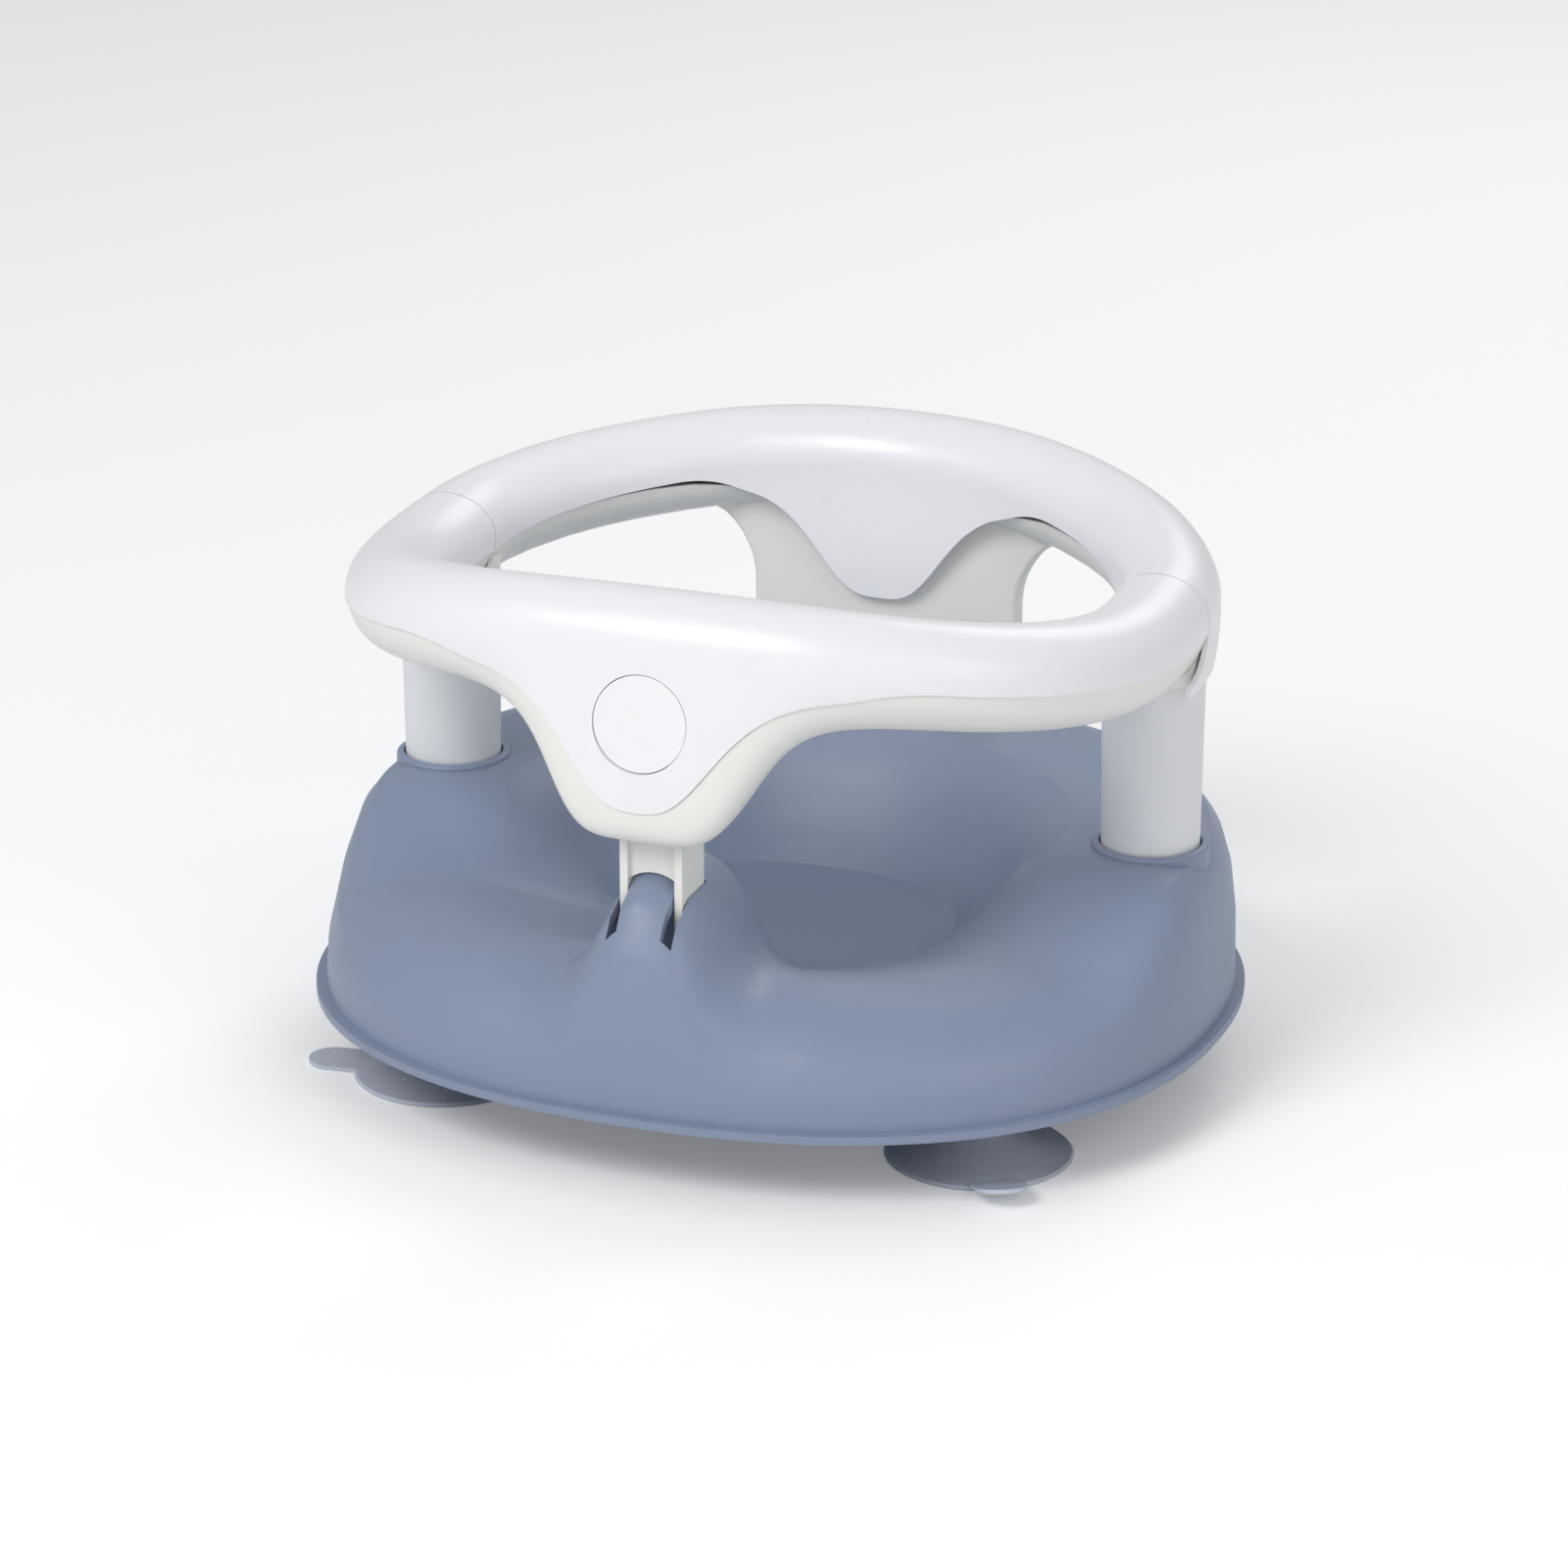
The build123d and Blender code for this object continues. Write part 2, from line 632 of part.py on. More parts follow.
def backrest():
    panel = Solid.extrude(backrest_face(0), Vector(0, BACK_DEPTH, 0))
    hollow = Solid.extrude(backrest_face(BACK_WALL), Vector(0, BACK_DEPTH, 0))
    panel = Pos(0, BACK_FRONT_Y, 0) * (panel - Pos(0, BACK_WALL, 0) * hollow)
    corners = panel.edges().filter_by(Axis.Z).group_by(Axis.Y)[0]
    return fillet(corners, 2.4)


def post(side):
    x = side * POST_X
    foot_z, length = BOSS_Z + 3, POST_TOP_Z - BOSS_Z - 3
    tube = rod(x, POST_Y, SOCKET_BOTTOM_Z + 3.1, foot_z, POST_R)
    tube += Pos(x, POST_Y, foot_z + length / 2) * Cone(POST_R, POST_TOP_R, length)
    tube -= rod(x, POST_Y, SOCKET_BOTTOM_Z + 6, POST_TOP_Z + 1, POST_R - POST_WALL)
    tube += rod(x, POST_Y, SOCKET_BOTTOM_Z + 4, SOCKET_BOTTOM_Z + 20, 4)
    return tube - rod(x, POST_Y, SOCKET_BOTTOM_Z, SOCKET_BOTTOM_Z + 17, 1.6)


def latch_leg():
    """H-section leg: two hooked blades and a web, with a pad above the pin."""
    web = box(-10, 10, LEG_WEB_Y, LEG_WEB_Y + 2.5, 108, 154)
    web -= rod_y(0, 98, LEG_WEB_Y - 1, LEG_WEB_Y + 4, 15)
    pad = box(-9, 9, -123.5, -121, 150, 181) + box(-10, 10, LEG_WEB_Y, LEG_PIVOT_Y + 1, 151.5, 155)
    hub = rod_x(LEG_PIVOT_Y, LEG_PIVOT_Z, -12, 12, 4.4)
    leg = web + [pad, hub, leg_blade(-1), leg_blade(1)]
    return leg - rod_x(LEG_PIVOT_Y, LEG_PIVOT_Z, -20, 20, LEG_PIN_R + PIN_FIT)


def leg_blade(side):
    """Blade outline in Y and Z with the hook at its lower end."""
    outline = [
        (LEG_FRONT_Y, 88), (LEG_FRONT_Y + 4, LEG_TIP_Z), (-112, LEG_TIP_Z), (-104.5, 92),
        (-103.5, 96.5), (LEG_BACK_Y, 98), (LEG_BACK_Y, 126), (-114, 142), (-114, 156),
        (-116, 158), (-126, 158), (LEG_FRONT_Y, 152),
    ]
    x = side * LEG_BLADE_X - LEG_BLADE_T / 2
    face = Face(Wire.make_polygon([(x, y, z) for y, z in outline], close=True))
    return Solid.extrude(face, Vector(LEG_BLADE_T, 0, 0))


def release_button():
    button = button_cylinder(BUTTON_R, 0, 2.4)
    button += button_cylinder(15, 1, 9) - button_cylinder(13, 2, 10)
    button += button_cylinder(3, 1, 15.2)
    return button


def suction_cup(name):
    """Thin domed cup with a neck, a retaining head and a pull tab."""
    r, g = CUP_NECK_R, CUP_PLATE_Z
    under_plate, over_plate = g - 0.3, g + CUP_PLATE_T + 0.3
    flank = [(CUP_R - 1, 1.8), (22, 4.6), (13, 9.5), (r + 3.4, 18), (r + 3.4, under_plate)]
    below = [(0, 0, 3.7), (r + 4, 0, 3.5), (CUP_R - 5, 0, 0), (CUP_R - 1.2, 0, 0), (CUP_R, 0, 0.8)]
    above = [
        (r, 0, under_plate), (r, 0, over_plate), (r + 2.8, 0, over_plate),
        (r + 2.8, 0, over_plate + 2), (r - 1, 0, over_plate + 6), (0, 0, over_plate + 6),
    ]
    flank = [(x, 0, z) for x, z in flank]
    edges = [Edge.make_line(p, q) for p, q in zip(below, below[1:] + flank[:1])]
    edges.append(Edge.make_spline(flank[:-1], tangents=[(-1, 0, 0.12), (0, 0, 1)]))
    edges += [Edge.make_line(p, q) for p, q in zip(flank[-2:] + above, flank[-1:] + above + below[:1])]
    cup = revolve(Face(Wire(edges)), Axis.Z)
    tab = extrude(make_face(Polyline((0, -9.5), (16, -9.5), (16, 9.5), (0, 9.5), close=True)), 1.6)
    tab += Pos(16, 0, 0.8) * Cylinder(CUP_TAB / 2, 1.6)
    angle, lift = CUP_TAB_TURN[name]
    cup += Rot(0, 0, angle) * Pos(CUP_R - 6, 0, 0.2) * Rot(0, -lift, 0) * tab
    x, y = cup_places()[name]
    return Pos(x, y, 0) * cup


def leg_pin():
    return rod_x(LEG_PIVOT_Y, LEG_PIVOT_Z, -16.4, 16.4, LEG_PIN_R)


def return_spring():
    """Bent leaf between the leg's pad and the back wall of the bar."""
    outline = [(-120.6, 179), (-120.6, 173), (-106.8, 161), (-106.5, 170)]
    lower = [(-107.2, 170), (-107.6, 162.4), (-119.9, 173.4), (-119.9, 179)]
    face = Face(Wire.make_polygon([(-4, y, z) for y, z in outline + lower], close=True))
    return Solid.extrude(face, Vector(8, 0, 0))


def screw(x, y, z, radius, length):
    """Pan head screw pointing up, the seat of its head at the given point."""
    shank = Pos(0, 0, length / 2) * Cylinder(radius, length)
    head = Pos(0, 0, -1) * Cylinder(2.1 * radius, 2)
    head -= Pos(0, 0, -2) * (Box(0.6 * radius, 2.4 * radius, 1.4) + Box(2.4 * radius, 0.6 * radius, 1.4))
    return (Pos(x, y, z) * (shank + head)).solid()


def post_screws():
    return Compound([screw(x, POST_Y, SOCKET_BOTTOM_Z, 1.5, 13) for x in (-POST_X, POST_X)])


def ring_screws(place):
    x, y, z = place
    return Compound([screw(s * x, y, z - 11.5, 1.4, 11) for s in (-1, 1)])


PARTS = {
    "base_shell": base_shell,
    "rear_ring_cover": rear_ring_cover,
    "rear_ring_underside": rear_ring_underside,
    "front_bar_cover": front_bar_cover,
    "front_bar_underside": front_bar_underside,
    "release_button": release_button,
    "latch_leg": latch_leg,
    "latch_pin": leg_pin,
    "return_spring": return_spring,
    "left_post": lambda: post(-1),
    "right_post": lambda: post(1),
    "left_hinge_pin": lambda: hinge_pin(-1),
    "right_hinge_pin": lambda: hinge_pin(1),
    "post_screws": post_screws,
    "bar_screws": lambda: ring_screws(BAR_SCREW),
    "rear_ring_screws": lambda: ring_screws(REAR_SCREW),
}
for place_name in cup_places():
    PARTS["suction_cup_" + place_name] = lambda n=place_name: suction_cup(n)

os.makedirs("parts", exist_ok=True)
for part_name, make in PARTS.items():
    export_step(Pos(0, -BASE_MID_Y, 0) * make(), "parts/" + part_name + ".step")
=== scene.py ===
"""A baby bath seat, dressed for the studio: satin blue base, semi-gloss white ring, soft cups."""
import json
import math

import bmesh
import bpy
import numpy as np
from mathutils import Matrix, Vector


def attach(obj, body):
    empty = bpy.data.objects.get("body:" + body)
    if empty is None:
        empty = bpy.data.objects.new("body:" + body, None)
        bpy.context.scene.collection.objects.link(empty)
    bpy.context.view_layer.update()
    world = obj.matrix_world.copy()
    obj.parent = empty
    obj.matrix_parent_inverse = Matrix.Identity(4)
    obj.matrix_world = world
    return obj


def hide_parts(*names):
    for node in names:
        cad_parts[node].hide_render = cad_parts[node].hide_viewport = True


MM = 0.001

# The solids' own numbers, in millimetres and before the frame's shift along y.
# The sections of the ring have h outward and k upward from its centre line.
SHIFT_Y = 2.0
TUBE_A, TUBE_V, RING_WALL = 19.3, 19.0, 2.4
RING_SEAM_K, SEAM_GAP, UNDER_INSET = -2.0, 0.25, 0.8
HINGE_X, HINGE_Y, HINGE_Z = 142.0, -9.0, 189.0
KNUCKLE_R, KNUCKLE_GAP, KNUCKLE_LENGTH = 24.0, 0.6, 362
BAR_START_Y, REAR_LAP = 24, 0.5
BEHIND_HINGE = ((-180, HINGE_Y, 100), (180, 60, 260))

APRON_DROP, APRON_HALF_W, APRON_BELL, APRON_FORWARD = 50.0, 39.5, 5, 12.0
APRON_LOW, APRON_SQUARE, APRON_SWELL, APRON_LEAN = 0.8, 1.4, 2.5, 1.6
APRON_SEAM_DROP, APRON_SEAM_HALF_W, APRON_SEAM_BELL, APRON_SEAM_END = 54, 32.5, 2.8, 95

BIB_DROP, BIB_HALF_W, BIB_BELL, BIB_END = 49.0, 34.0, 3.2, 88
BIB_SWELL, BIB_SWELL_DEPTH = 2, 40
SEAM_FADE = 30
CHEEK_DROP, CHEEK_START_Y, CHEEK_FADE = 16.5, 42, 26
SKIRT_INSET, SKIRT_FLARE, SKIRT_FLARE_DEPTH = 1.9, 0.3, 10

BUTTON_Y, BUTTON_Z, BUTTON_R, BUTTON_TILT = -139.4, 172.7, 17.6, 6.0
BORE_GAP, BORE_FRONT, BORE_BACK = 0.35, -6, 12
BAR_SCREW = (100.0, -95.0, 189.5)
WELL_R, WELL_LENGTH = 3.6, 8
EAR_HALF_W, EAR_FRONT, EAR_BACK_Y, EAR_LOW_Z, EAR_HIGH_Z = 5, 3.5, 40, 150, 200
LEG_OPENING = ((-12.8, -133.6, 115), (12.8, -98, 150))
RING_POINTS = [
    (0, 126, 197), (34, 122.5, 196.5), (64, 114, 194.5), (91, 99, 191.5), (113, 80, 188.5),
    (129, 58, 185.5), (139, 36, 182.5), (142.2, 13.5, 180.5), (142.5, -10, 179.5),
    (139, -35, 180), (131, -58, 182.5), (117.5, -79, 186), (100, -95, 189.5),
    (81, -106, 192.5), (60, -113.5, 195), (30, -117, 196.5), (0, -118, 197),
]

# Depth inside the skin at which the solids' ribs and bosses join the swept walls
CORE_WALL = 1.2

# How finely the meshes are made
LINE_COUNT = 400
CROWN_POINTS, SEAM_POINTS, BOTTOM_POINTS, SKIRT_POINTS, LID_POINTS = 30, 26, 64, 12, 12
DRUM_SIDES = 96
SMOOTH_ANGLE = 32
WELD_DISTANCE = 0.00001
SOLVER = "MANIFOLD"

# The camera fitted to the photograph, in degrees, millimetres of lens and metres
CAMERA_SIDE, CAMERA_UP, CAMERA_DISTANCE = 21.16, 19.72, 2.1699
CAMERA_AIM = (0.00055, 0.002, 0.104)
LENS, SENSOR = 132.3, 36.0

# Place, size and watts of each lamp
LAMPS = {
    "key": ((-0.6, -1.7, 1.8), 1.2, 26),
    "fill": ((1.7, -1.0, 1.2), 1.4, 7),
    "back": ((0.3, 1.8, 1.6), 1.2, 9),
}
LAMP_AIM = (0, 0, 0.1)
DOME_STRENGTH = 0.50
FLOOR_HALF, FLOOR_GLOW = 4, 0.16
WHITE = (1, 1, 1, 1)

# Colour sockets of Blender's mix node, which share their names with its other sockets
MIX_A, MIX_B, MIX_RESULT = 6, 7, 2


def linear(hex_colour):
    """sRGB hex to linear RGBA."""
    parts = [int(hex_colour[i : i + 2], 16) / 255 for i in (1, 3, 5)]
    return (*[c / 12.92 if c <= 0.04045 else ((c + 0.055) / 1.055) ** 2.4 for c in parts], 1)


def add(tree, kind, inputs=None, **settings):
    """One shader node with its settings, its values and its links."""
    node = tree.nodes.new(kind)
    for name, value in settings.items():
        setattr(node, name, value)
    for name, value in (inputs or {}).items():
        if isinstance(value, bpy.types.NodeSocket):
            tree.links.new(value, node.inputs[name])
        else:
            node.inputs[name].default_value = value
    return node


def empty_material(name):
    """A material whose node tree has nothing in it yet, and that tree."""
    material = bpy.data.materials.new(name)
    material.use_nodes = True
    material.node_tree.nodes.clear()
    return material, material.node_tree


def moulded(name, colours, rough, grain_mm, grain, cloud_mm, **sockets):
    """Moulded plastic: slow flow clouds in the colour and gloss, and the fine grain of the tool."""
    material, tree = empty_material(name)
    where = add(tree, "ShaderNodeTexCoord").outputs["Object"]
    clouds = {"Vector": where, "Scale": 1 / (cloud_mm * MM), "Detail": 3.0, "Roughness": 0.55}
    cloud = add(tree, "ShaderNodeTexNoise", clouds).outputs["Fac"]
    tints = {"Factor": cloud, MIX_A: linear(colours[0]), MIX_B: linear(colours[1])}
    tint = add(tree, "ShaderNodeMix", tints, data_type="RGBA")
    spread = {"From Min": 0.3, "From Max": 0.7, "To Min": rough - 0.04, "To Max": rough + 0.05}
    gloss = add(tree, "ShaderNodeMapRange", {"Value": cloud, **spread})
    grains = {"Vector": where, "Scale": 1 / (grain_mm * MM), "Detail": 2.0}
    height = add(tree, "ShaderNodeTexNoise", grains).outputs["Fac"]
    relief = {"Strength": grain, "Distance": 0.05 * MM, "Height": height}
    bump = add(tree, "ShaderNodeBump", relief)
    values = {
        "Base Color": tint.outputs[MIX_RESULT],
        "Roughness": gloss.outputs[0],
        "Normal": bump.outputs[0],
        "IOR": 1.5,
    }
    shader = add(tree, "ShaderNodeBsdfPrincipled", {**values, **sockets})
    add(tree, "ShaderNodeOutputMaterial", {"Surface": shader.outputs[0]})
    return material


def finishes():
    """One material for each slot of the record."""
    soft = {"Transmission Weight": 0.12}
    return {
        # The base: satin grey blue with wide soft highlights
        "blue_shell": moulded(
            "moulded_polypropylene_blue", ("#8390A8", "#8793AA"), 0.42, 0.6, 0.25, 60
        ),
        # The upper shells of the ring: cool white with a clear, soft-edged sheen
        "white_shell": moulded("moulded_abs_white", ("#F1F1F4", "#EFEFF2"), 0.30, 0.5, 0.10, 50),
        # The button: the same white, a little glossier
        "white_button": moulded("polished_abs_white", ("#F3F3F5", "#F1F1F3"), 0.27, 0.5, 0.06, 40),
        # The lower shells and the leg: a warmer and duller white
        "ivory_shell": moulded("moulded_abs_ivory", ("#EDEDE8", "#EBEBE5"), 0.36, 0.5, 0.15, 50),
        # The posts: pale neutral grey, satin
        "post_grey": moulded(
            "moulded_polypropylene_grey", ("#E4E6E8", "#E1E3E6"), 0.38, 0.5, 0.15, 40
        ),
        # The cups: soft, and a little light comes through; their colour is painted lighter than
        # their own, standing in for the light they lose in shade under the base
        "cup_rubber": moulded(
            "dipped_pvc_translucent", ("#CCD3E0", "#C6CDDC"), 0.28, 0.8, 0.10, 30, **soft
        ),
        # Pins, screws and spring: drawn steel with a blurred reflection
        "steel": moulded(
            "drawn_stainless_steel", ("#C9CACC", "#BFC0C3"), 0.30, 0.4, 0.10, 20, Metallic=1.0
        ),
    }


def ease(t):
    """Smooth step from 0 to 1."""
    t = min(max(t, 0), 1)
    return t * t * (3 - 2 * t)


def bell(x, half_width, power):
    """1 at the middle, one half at half_width, 0 far out."""
    return 1 / (1 + (abs(x) / half_width) ** power)


def ring_line(count):
    """Centre line of the ring: a closed cubic spline S with S'' linear between the points."""
    points = np.array(RING_POINTS + [(-x, y, z) for x, y, z in RING_POINTS[-2:0:-1]], float)
    n = len(points)
    after = np.roll(points, -1, axis=0)
    step = np.linalg.norm(after - points, axis=1)
    system = np.zeros((n, n))
    for i in range(n):
        system[i, i - 1] += step[i - 1] / 6
        system[i, i] += (step[i - 1] + step[i]) / 3
        system[i, (i + 1) % n] += step[i] / 6
    slope = (after - points) / step[:, None]
    bend = np.linalg.solve(system, slope - np.roll(slope, 1, axis=0))
    knots = np.concatenate([[0], np.cumsum(step)])
    at = np.linspace(0, knots[-1], count, endpoint=False)
    i = np.clip(np.searchsorted(knots, at, side="right") - 1, 0, n - 1)
    j = (i + 1) % n
    h, u = step[i][:, None], (at - knots[i])[:, None]
    w = h - u
    curve = bend[i] * (w**3 / h - w * h) + bend[j] * (u**3 / h - u * h)
    place = (points[i] * w + points[j] * u) / h + curve / 6
    along = slope[i] + (bend[i] * (h - 3 * w**2 / h) + bend[j] * (3 * u**2 / h - h)) / 6
    out = np.stack([-along[:, 1], along[:, 0], 0 * along[:, 0]], axis=1)
    out /= np.linalg.norm(out, axis=1)[:, None]
    out *= np.sign(np.sum(out * place, axis=1))[:, None]
    return place, out


def arc(a, v, count):
    """Upper half of the tube, h = a cos t and k = v sin t, from the inner side to the outer."""
    return [(a * math.cos(t), v * math.sin(t)) for t in np.linspace(math.pi, 0, count)]


def apron_section(x):
    """Share of the apron in the bar at x, the depth of the section and its superellipse power."""
    share = bell(x, APRON_HALF_W, APRON_BELL)
    return share, TUBE_V + APRON_LOW + APRON_DROP * share, 2 + APRON_SQUARE * share


def swell(k, depth, share):
    """How much wider than the tube the apron is at height k."""
    return APRON_SWELL * abs(k) / depth * share


def lean(k, depth, share):
    """How far the apron stands forward at height k."""
    return APRON_FORWARD * share * min(abs(k) / depth, 1) ** APRON_LEAN


def apron(k, a, x, inset):
    """Outer side of the bar below its centre line: a superellipse that leans forward."""
    share, depth, power = apron_section(x)
    room = max(1 - min(abs(k) / (depth - inset), 1) ** power, 0) ** (1 / power)
    return (a + swell(k, depth, share)) * room + lean(k, depth, share)


def apron_seam(x):
    """Height of the seam on the outer side of the bar."""
    dip = bell(x, APRON_SEAM_HALF_W, APRON_SEAM_BELL)
    return RING_SEAM_K - APRON_SEAM_DROP * dip * ease((APRON_SEAM_END - abs(x)) / SEAM_FADE)


def bar_cover_side(x, wall):
    """Crown of the bar and its outer side down to the seam, the given depth inside the skin."""
    a, v = TUBE_A - wall, TUBE_V - wall
    lows = np.linspace(0, apron_seam(x), SEAM_POINTS)[1:]
    outer = [(apron(k, a, x, wall), k) for k in lows]
    return [(-a, RING_SEAM_K)] + arc(a, v, CROWN_POINTS) + outer


def bar_under_side(x, wall, seam):
    """Lower half of the bar from the outer seam, round the bottom, to the inner seam."""
    share, depth, power = apron_section(x)
    a, b = TUBE_A - UNDER_INSET - wall, depth - wall
    first, last = seam - SEAM_GAP, RING_SEAM_K - SEAM_GAP
    start = math.asin(min((abs(first) / b) ** (power / 2), 1))
    stop = math.pi - math.asin((abs(last) / b) ** (power / 2))
    side = []
    for beta in np.linspace(start, stop, BOTTOM_POINTS):
        k = -b * abs(math.sin(beta)) ** (2 / power)
        c = math.cos(beta)
        h = (a + swell(k, depth, share)) * math.copysign(abs(c) ** (2 / power), c)
        side.append((h + lean(k, depth, share), k))
    return side


def bib_seam(x):
    """Height of the seam on the inner side of the rear half ring."""
    dip = bell(x, BIB_HALF_W, BIB_BELL)
    return RING_SEAM_K - BIB_DROP * dip * ease((BIB_END - abs(x)) / SEAM_FADE)


def rear_cover_side(x, y, wall):
    """Skirt beside the joint, crown, and bib down to its seam."""
    cheek = ease((CHEEK_START_Y - y) / CHEEK_FADE)
    low = RING_SEAM_K - CHEEK_DROP * cheek
    skirt = TUBE_A - (SKIRT_INSET if wall else 0)
    side = []
    for k in np.linspace(low, 0, SKIRT_POINTS)[:-1]:
        side.append((skirt + SKIRT_FLARE * cheek * ease(-k / SKIRT_FLARE_DEPTH), k))
    side += arc(TUBE_A - wall, TUBE_V - wall, CROWN_POINTS)[::-1]
    for k in np.linspace(0, bib_seam(x), SEAM_POINTS)[1:]:
        side.append((-TUBE_A - BIB_SWELL * ease(-k / BIB_SWELL_DEPTH) + wall, k))
    return side


def solid(name, corners, faces):
    """Object with the given mesh and outward normals."""
    mesh = bpy.data.meshes.new(name)
    mesh.from_pydata([tuple(c) for c in corners], [], faces)
    work = bmesh.new()
    work.from_mesh(mesh)
    bmesh.ops.recalc_face_normals(work, faces=work.faces)
    work.to_mesh(mesh)
    work.free()
    piece = bpy.data.objects.new(name, mesh)
    bpy.context.scene.collection.objects.link(piece)
    return piece


def sweep(name, stations, outline):
    """Closed skin through one outline per station of the ring, with flat ends."""
    shift = Vector((0, SHIFT_Y, 0))
    corners = []
    for place, out in stations:
        row = [place + out * h + Vector((0, 0, k)) for h, k in outline(place.x, place.y)]
        corners += [(p + shift) * MM for p in row]
    count = len(corners) // len(stations)
    faces = []
    for first in range(0, len(corners) - count, count):
        for j in range(count):
            a, b = first + j, first + (j + 1) % count
            faces.append([a, b, b + count, a + count])
    faces += [list(range(count)), list(range(len(corners) - count, len(corners)))]
    return solid(name, corners, faces)


def drum(middle, axis, radius, length):
    """Cylinder tool, in millimetres of the solids."""
    turn = Vector((0, 0, 1)).rotation_difference(Vector(axis)).to_matrix()
    angles = np.linspace(0, 2 * math.pi, DRUM_SIDES, endpoint=False)
    ring = [Vector((radius * math.cos(t), radius * math.sin(t), 0)) for t in angles]
    ends = [p + Vector((0, 0, e * length / 2)) for e in (-1, 1) for p in ring]
    corners = [(turn @ p + Vector(middle) + Vector((0, SHIFT_Y, 0))) * MM for p in ends]
    n = len(ring)
    faces = [[i, (i + 1) % n, n + (i + 1) % n, n + i] for i in range(n)]
    return solid("tool", corners, faces + [list(range(n)), list(range(n, 2 * n))])


def block(low, high):
    """Box tool between two corners, in millimetres of the solids."""
    xs, ys, zs = zip(low, high)
    corners = [Vector((x, y + SHIFT_Y, z)) * MM for x in xs for y in ys for z in zs]
    faces = [[0, 1, 3, 2], [4, 5, 7, 6], [0, 1, 5, 4], [2, 3, 7, 6], [0, 2, 6, 4], [1, 3, 7, 5]]
    return solid("tool", corners, faces)


def carve(piece, tool, operation="DIFFERENCE"):
    """Apply one boolean and remove the tool."""
    cut = piece.modifiers.new("cut", "BOOLEAN")
    cut.object, cut.operation, cut.solver = tool, operation, SOLVER
    apply_modifiers(piece)
    bpy.data.objects.remove(tool)
    return piece


def apply_modifiers(piece):
    """Put the evaluated mesh in the place of the piece's own."""
    depsgraph = bpy.context.evaluated_depsgraph_get()
    result = bpy.data.meshes.new_from_object(piece.evaluated_get(depsgraph))
    piece.modifiers.clear()
    piece.data = result


def shade(piece):
    """Smooth where the faces meet at less than the smooth angle."""
    mesh = piece.data
    mesh.polygons.foreach_set("use_smooth", np.ones(len(mesh.polygons), bool))
    mesh.set_sharp_from_angle(angle=math.radians(SMOOTH_ANGLE))


def stations_between(first, last):
    """Stations of the ring's fine line from index first to last, going round."""
    place, out = ring_line(LINE_COUNT)
    turns = [i % LINE_COUNT for i in range(first, last + 1)]
    return [(Vector(place[i]), Vector(out[i])) for i in turns]


def crossing(y):
    """Index where the right half of the ring first lies in front of y."""
    place, _ = ring_line(LINE_COUNT)
    return int(np.argmax(place[: LINE_COUNT // 2, 1] < y))


def bar_stations():
    """Stations of the front bar, a little longer than it is."""
    first = crossing(BAR_START_Y)
    return stations_between(first, LINE_COUNT - first)


def wall_outline(side):
    """Outline of a shell's wall: out along its skin and back along its inner face."""
    return lambda x, y: side(x, y, 0) + side(x, y, RING_WALL)[::-1]


def hinge_drum(radius):
    """Cylinder tool about the axis of the two side joints."""
    return drum((0, HINGE_Y, HINGE_Z), (1, 0, 0), radius, KNUCKLE_LENGTH)


def bar_end():
    """All that lies behind the pivot and outside the knuckle."""
    return carve(block(*BEHIND_HINGE), hinge_drum(KNUCKLE_R))


def inner_features(source, outline, stations):
    """What the solid carries inside its wall: ribs, ears, bosses and wells."""
    return carve(smooth_copy(source), sweep("core", stations, outline), "INTERSECT")


def button_bore():
    """Cylinder tool for the bore of the release button."""
    tilt = math.radians(BUTTON_TILT)
    axis = Vector((0, math.cos(tilt), -math.sin(tilt)))
    middle = Vector((0, BUTTON_Y, BUTTON_Z)) + axis * ((BORE_FRONT + BORE_BACK) / 2)
    return drum(middle, axis, BUTTON_R + BORE_GAP, BORE_BACK - BORE_FRONT)


def front_bar_cover(source):
    """The solid's cover with its skin swept through fine stations."""

    def wall(x, _, depth):
        return bar_cover_side(x, depth)

    def core(x, _):
        return bar_cover_side(x, CORE_WALL) + [(-TUBE_A + CORE_WALL, apron_seam(x))]

    stations = bar_stations()
    piece = sweep("front_bar_cover_skin", stations, wall_outline(wall))
    carve(piece, bar_end())
    carve(piece, inner_features(source, core, stations), "UNION")
    return carve(piece, button_bore())


def front_bar_underside(source):
    """The solid's underside with its skin swept through fine stations."""

    def wall(x, _, depth):
        return bar_under_side(x, depth, apron_seam(x))

    def core(x, _):
        lid = arc(TUBE_A - CORE_WALL, TUBE_V - CORE_WALL, LID_POINTS)
        return bar_under_side(x, CORE_WALL, 0) + lid

    stations = bar_stations()
    piece = sweep("front_bar_underside_skin", stations, wall_outline(wall))
    carve(piece, bar_end())
    screw_x, screw_y, screw_z = BAR_SCREW
    for side in (-1, 1):
        well = (side * screw_x, screw_y, screw_z - TUBE_V)
        carve(piece, drum(well, (0, 0, 1), WELL_R, WELL_LENGTH))
        low = (side * HINGE_X - EAR_HALF_W, HINGE_Y - EAR_FRONT, EAR_LOW_Z)
        carve(piece, block(low, (side * HINGE_X + EAR_HALF_W, EAR_BACK_Y, EAR_HIGH_Z)))
    carve(piece, block(*LEG_OPENING))
    return carve(piece, inner_features(source, core, stations), "UNION")


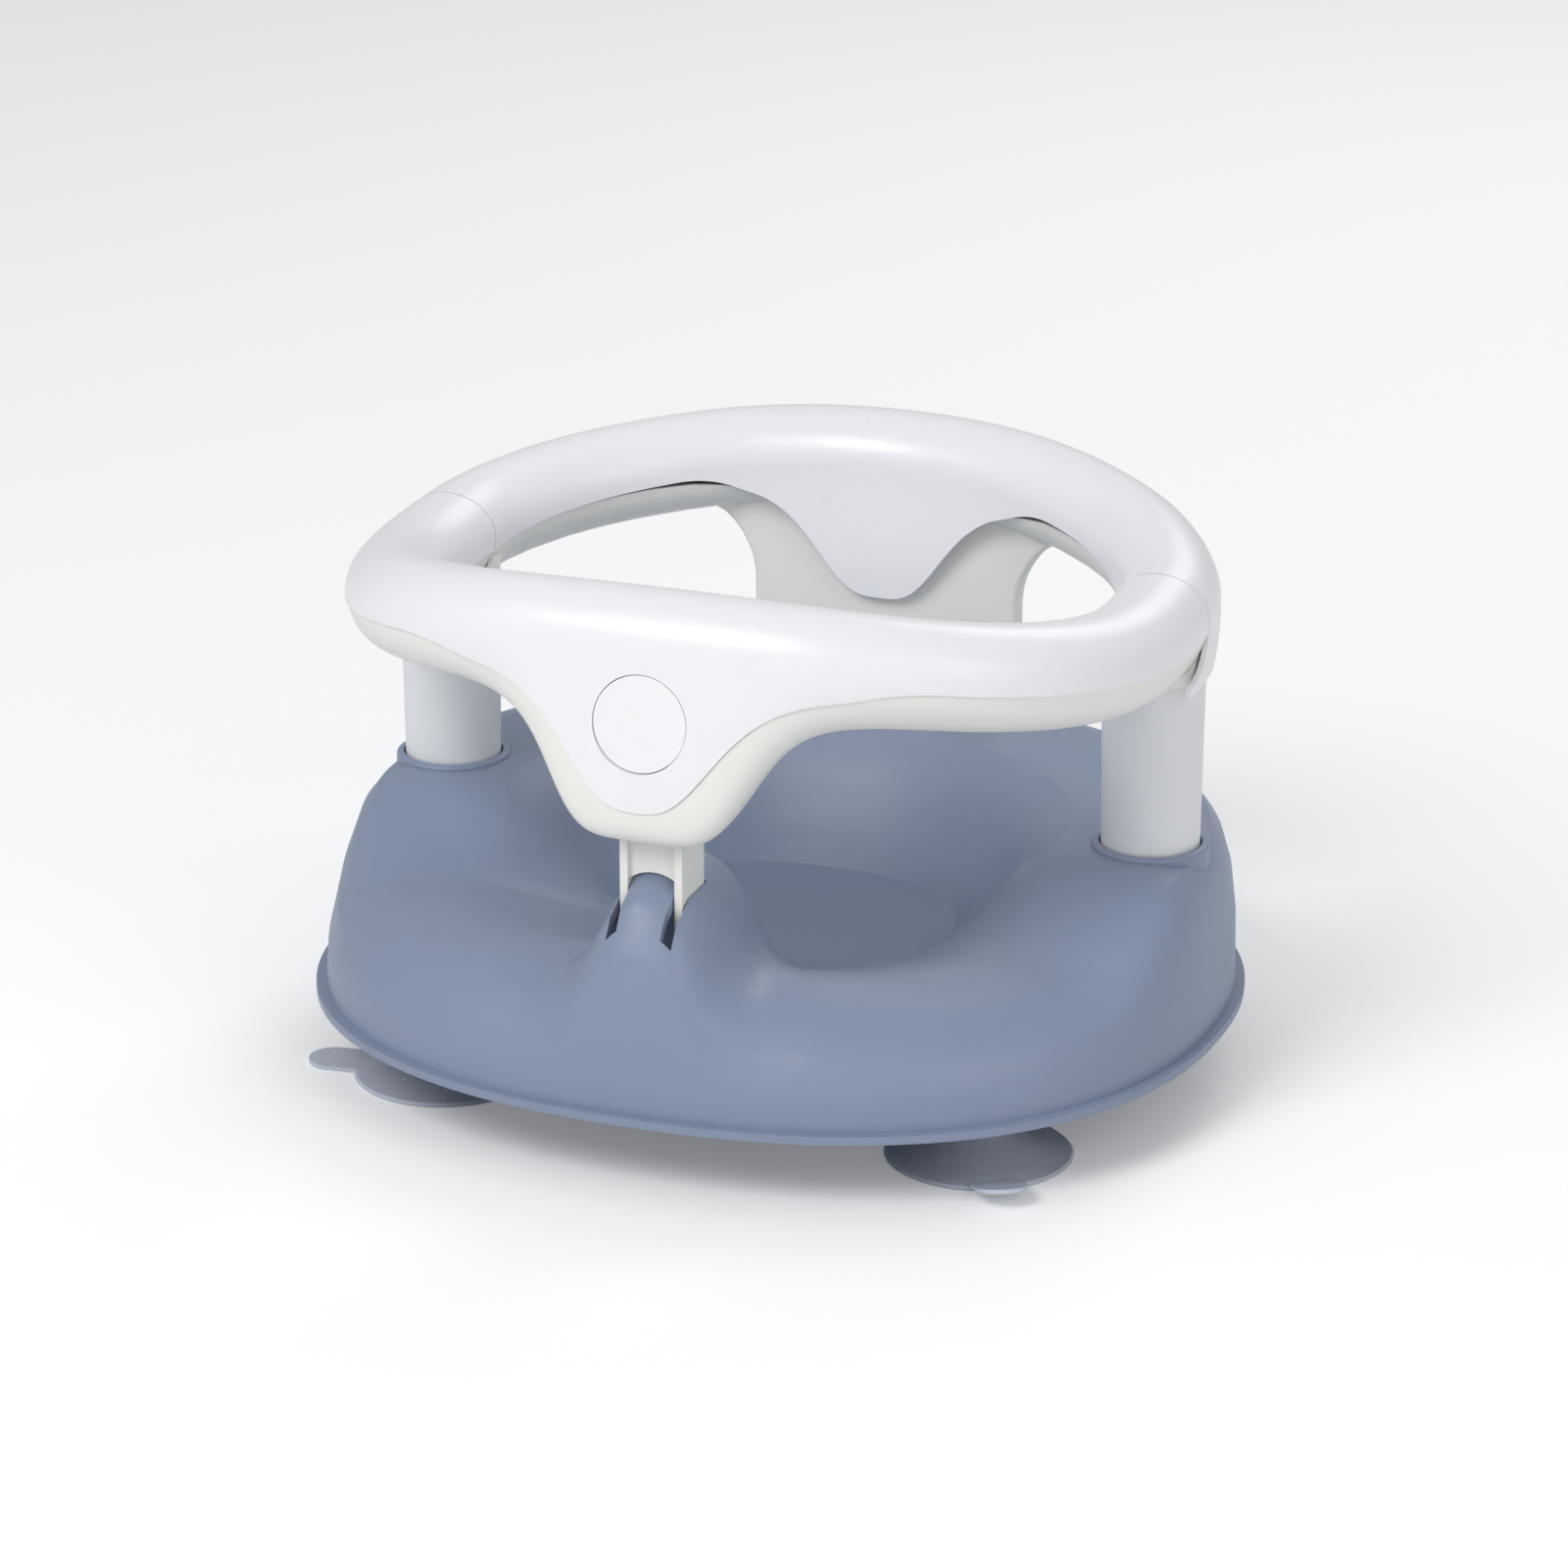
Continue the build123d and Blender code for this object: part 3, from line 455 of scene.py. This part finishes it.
def rear_ring_cover(source):
    """The solid's rear cover with its skin swept through fine stations."""

    def core(*_):
        crown = arc(TUBE_A - CORE_WALL, TUBE_V - CORE_WALL, CROWN_POINTS)
        return crown + [(0, -TUBE_V / 2)]

    last = crossing(HINGE_Y + REAR_LAP)
    stations = stations_between(-last, last)
    piece = sweep("rear_ring_cover_skin", stations, wall_outline(rear_cover_side))
    carve(piece, hinge_drum(KNUCKLE_R + KNUCKLE_GAP))
    return carve(piece, inner_features(source, core, stations), "UNION")


def smooth_copy(source):
    """A welded copy of a rigid shell, without the normals of the solid's own facets."""
    piece = bpy.data.objects.new(source.name + "_smooth", source.data.copy())
    bpy.context.scene.collection.objects.link(piece)
    piece.modifiers.new("weld", "WELD").merge_threshold = WELD_DISTANCE
    apply_modifiers(piece)
    attributes = piece.data.attributes
    if "custom_normal" in attributes:
        attributes.remove(attributes["custom_normal"])
    return piece


def camera():
    """The photograph's view: 21 degrees to the side and 20 down, with a long lens."""
    data = bpy.data.cameras.new("camera")
    data.lens, data.sensor_width = LENS, SENSOR
    side, up = math.radians(CAMERA_SIDE), math.radians(CAMERA_UP)
    level = math.cos(up)
    back = Vector((math.sin(side) * level, -math.cos(side) * level, math.sin(up)))
    eye = bpy.data.objects.new("camera", data)
    eye.location = Vector(CAMERA_AIM) + back * CAMERA_DISTANCE
    eye.rotation_euler = (-back).to_track_quat("-Z", "Y").to_euler()
    bpy.context.scene.collection.objects.link(eye)
    bpy.context.scene.camera = eye


def lamp(name, place, size, watts):
    """A round soft lamp aimed at the middle of the seat."""
    data = bpy.data.lights.new(name, "AREA")
    data.shape, data.size, data.energy = "DISK", size, watts
    light = bpy.data.objects.new(name, data)
    light.location = place
    light.rotation_euler = (Vector(LAMP_AIM) - Vector(place)).to_track_quat("-Z", "Y").to_euler()
    bpy.context.scene.collection.objects.link(light)


def surround():
    """A white background for the camera, and a dimmer dome that lights the seat."""
    world = bpy.data.worlds.new("surround")
    world.use_nodes = True
    tree = world.node_tree
    tree.nodes.clear()
    path = add(tree, "ShaderNodeLightPath")
    rays = {0: path.outputs["Is Camera Ray"], 1: path.outputs["Is Transmission Ray"]}
    seen = add(tree, "ShaderNodeMath", rays, operation="MAXIMUM")
    glow = {"Color": linear("#F6F7FA"), "Strength": DOME_STRENGTH}
    dome = add(tree, "ShaderNodeBackground", glow)
    white = add(tree, "ShaderNodeBackground", {"Color": WHITE, "Strength": 1.0})
    mix = {0: seen.outputs[0], 1: dome.outputs[0], 2: white.outputs[0]}
    both = add(tree, "ShaderNodeMixShader", mix)
    add(tree, "ShaderNodeOutputWorld", {"Surface": both.outputs[0]})
    bpy.context.scene.world = world


def studio_floor():
    """A pale matt floor that glows a little towards the camera."""
    floor = bpy.data.meshes.new("floor")
    half = FLOOR_HALF
    corners = [(-half, -half, 0), (half, -half, 0), (half, half, 0), (-half, half, 0)]
    floor.from_pydata(corners, [], [(0, 1, 2, 3)])
    piece = bpy.data.objects.new("floor", floor)
    bpy.context.scene.collection.objects.link(piece)
    material, tree = empty_material("studio_floor")
    where = add(tree, "ShaderNodeTexCoord").outputs["Object"]
    grain = add(tree, "ShaderNodeTexNoise", {"Vector": where, "Scale": 40.0}).outputs["Fac"]
    rough = add(tree, "ShaderNodeMapRange", {"Value": grain, "To Min": 0.75, "To Max": 0.85})
    path = add(tree, "ShaderNodeLightPath")
    rays = {0: path.outputs["Is Camera Ray"], 1: FLOOR_GLOW}
    glow = add(tree, "ShaderNodeMath", rays, operation="MULTIPLY")
    values = {
        "Base Color": linear("#F7F7F7"),
        "Roughness": rough.outputs[0],
        "Specular IOR Level": 0.1,
        "Emission Color": WHITE,
        "Emission Strength": glow.outputs[0],
    }
    shader = add(tree, "ShaderNodeBsdfPrincipled", values)
    add(tree, "ShaderNodeOutputMaterial", {"Surface": shader.outputs[0]})
    floor.materials.append(material)


def studio():
    """A pale floor, a white surround and three soft lamps."""
    surround()
    for name, values in LAMPS.items():
        lamp(name, *values)
    studio_floor()


def dress(frame):
    """Every rigid node gets a smooth copy or a finely swept shell, in the finish of its slot."""
    made = finishes()
    bodies = frame["record"]["behaviour"]["bodies"]
    home = {node: body for body, nodes in bodies.items() for node in nodes}
    slots = {s["node"]: s["material_slot"] for s in frame["record"]["subparts"]}
    swept = {
        "front_bar_cover": front_bar_cover,
        "front_bar_underside": front_bar_underside,
        "rear_ring_cover": rear_ring_cover,
    }
    for name, source in frame["nodes"].items():
        if name == "return_spring":
            # The leaf spring bends in the real seat; its own node stays as it is and only takes the
            # finish
            source.data.materials.clear()
            source.data.materials.append(made[slots[name]])
            continue
        piece = swept[name](source) if name in swept else smooth_copy(source)
        shade(piece)
        piece.data.materials.clear()
        piece.data.materials.append(made[slots[name]])
        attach(piece, home[name])
        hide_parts(name)


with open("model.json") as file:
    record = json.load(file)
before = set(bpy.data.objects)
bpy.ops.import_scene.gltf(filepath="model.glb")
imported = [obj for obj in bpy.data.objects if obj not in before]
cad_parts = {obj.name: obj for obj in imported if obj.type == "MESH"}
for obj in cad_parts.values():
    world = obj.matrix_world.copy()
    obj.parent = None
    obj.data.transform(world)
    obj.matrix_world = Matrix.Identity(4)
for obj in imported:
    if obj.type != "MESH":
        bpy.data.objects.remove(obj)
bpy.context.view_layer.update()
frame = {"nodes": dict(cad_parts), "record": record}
camera()
studio()
dress(frame)
bpy.context.scene.view_settings.view_transform = "Standard"
